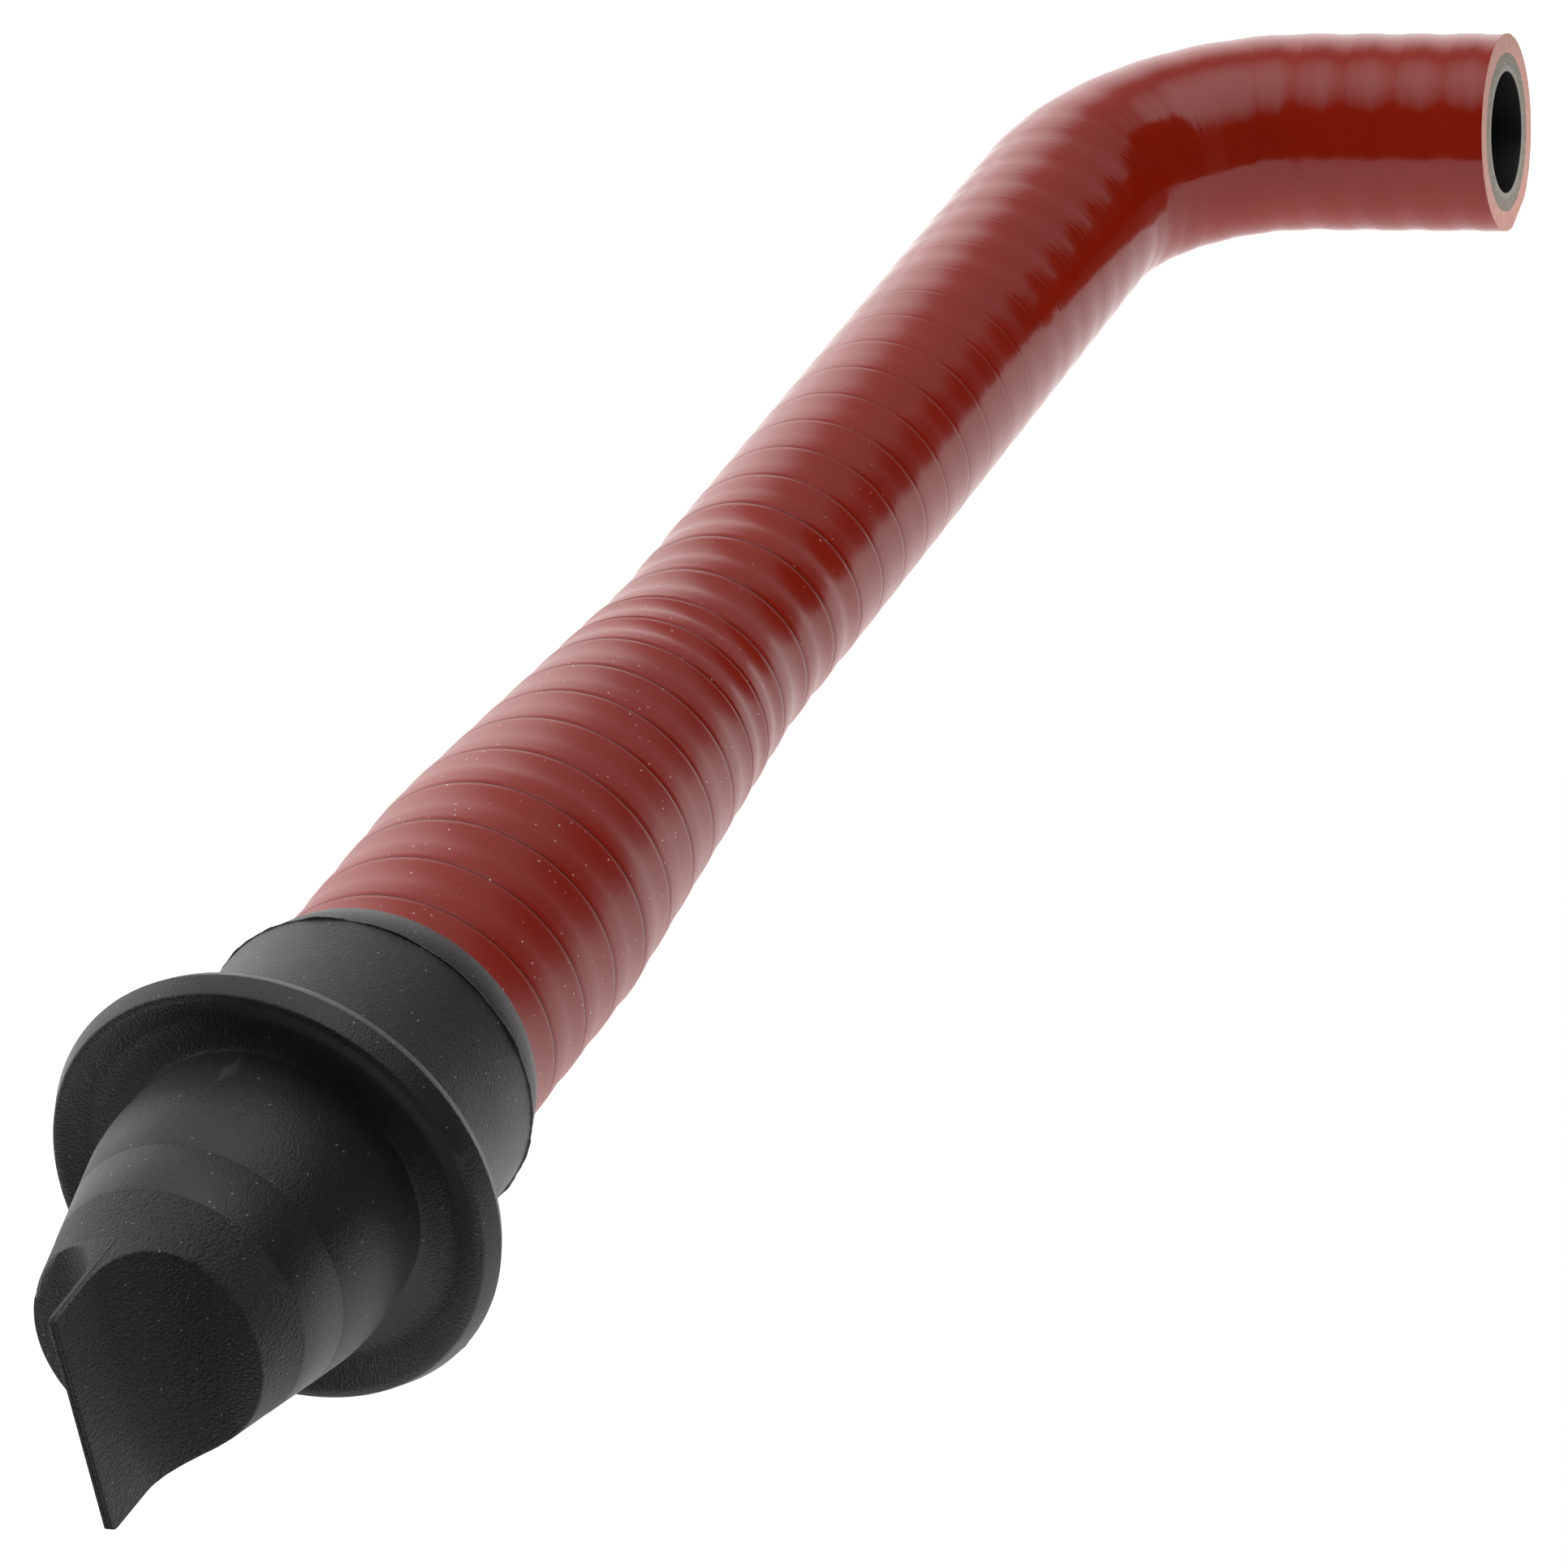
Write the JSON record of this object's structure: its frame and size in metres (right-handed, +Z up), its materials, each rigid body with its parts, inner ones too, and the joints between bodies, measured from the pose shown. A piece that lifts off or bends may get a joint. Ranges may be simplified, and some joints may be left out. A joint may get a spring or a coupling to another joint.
{
  "type": "drain hose with duckbill valve",
  "caption": "Shape-holding reducer hose with one elbow, its large end pushed into a flanged rubber collar that ends in a one-way duckbill valve.",
  "frame": {"origin": "on the valve's axis, at the middle of the collar's clip band", "axes": "+X from the valve along the hose's main run, -Y the side that the elbow turns to, +Z up, square to the plane of the bend"},
  "size_m": [0.3275, 0.0793, 0.0544],
  "materials": {
    "red_silicone": "gloss, tape wrapped and cured",
    "ply_fabric": "woven, coated",
    "liner_silicone": "smooth",
    "black_rubber": "matt, moulded"
  },
  "bodies": {
    "hose": {"hose_cover": "red_silicone", "elbow_cover": "red_silicone", "end_cover": "red_silicone", "fabric_ply_1": "ply_fabric", "fabric_ply_2": "ply_fabric", "fabric_ply_3": "ply_fabric", "hose_liner": "liner_silicone"},
    "valve": {"valve_body": "black_rubber"},
    "left_lip": {"left_lip": "black_rubber"},
    "right_lip": {"right_lip": "black_rubber"}
  },
  "joints": [
    {"name": "valve_pull_off", "type": "slide", "parent": "hose", "child": "valve", "axis": [-1, 0, 0], "range_m": [0, 0.045]},
    {"name": "left_lip_flex", "type": "hinge", "parent": "valve", "child": "left_lip", "pos_m": [-0.0448, 0.00844, -0.00044], "axis": [0, -0.0523, -0.9986], "range_deg": [0, 12], "stiffness_Nm_per_rad": 0.03},
    {"name": "right_lip_flex", "type": "hinge", "parent": "valve", "child": "right_lip", "pos_m": [-0.0448, -0.00844, 0.00044], "axis": [0, 0.0523, 0.9986], "range_deg": [0, 12], "stiffness_Nm_per_rad": 0.03}
  ],
  "couplings": [
    {"joint": "right_lip_flex", "follows": "left_lip_flex", "ratio": 1}
  ]
}
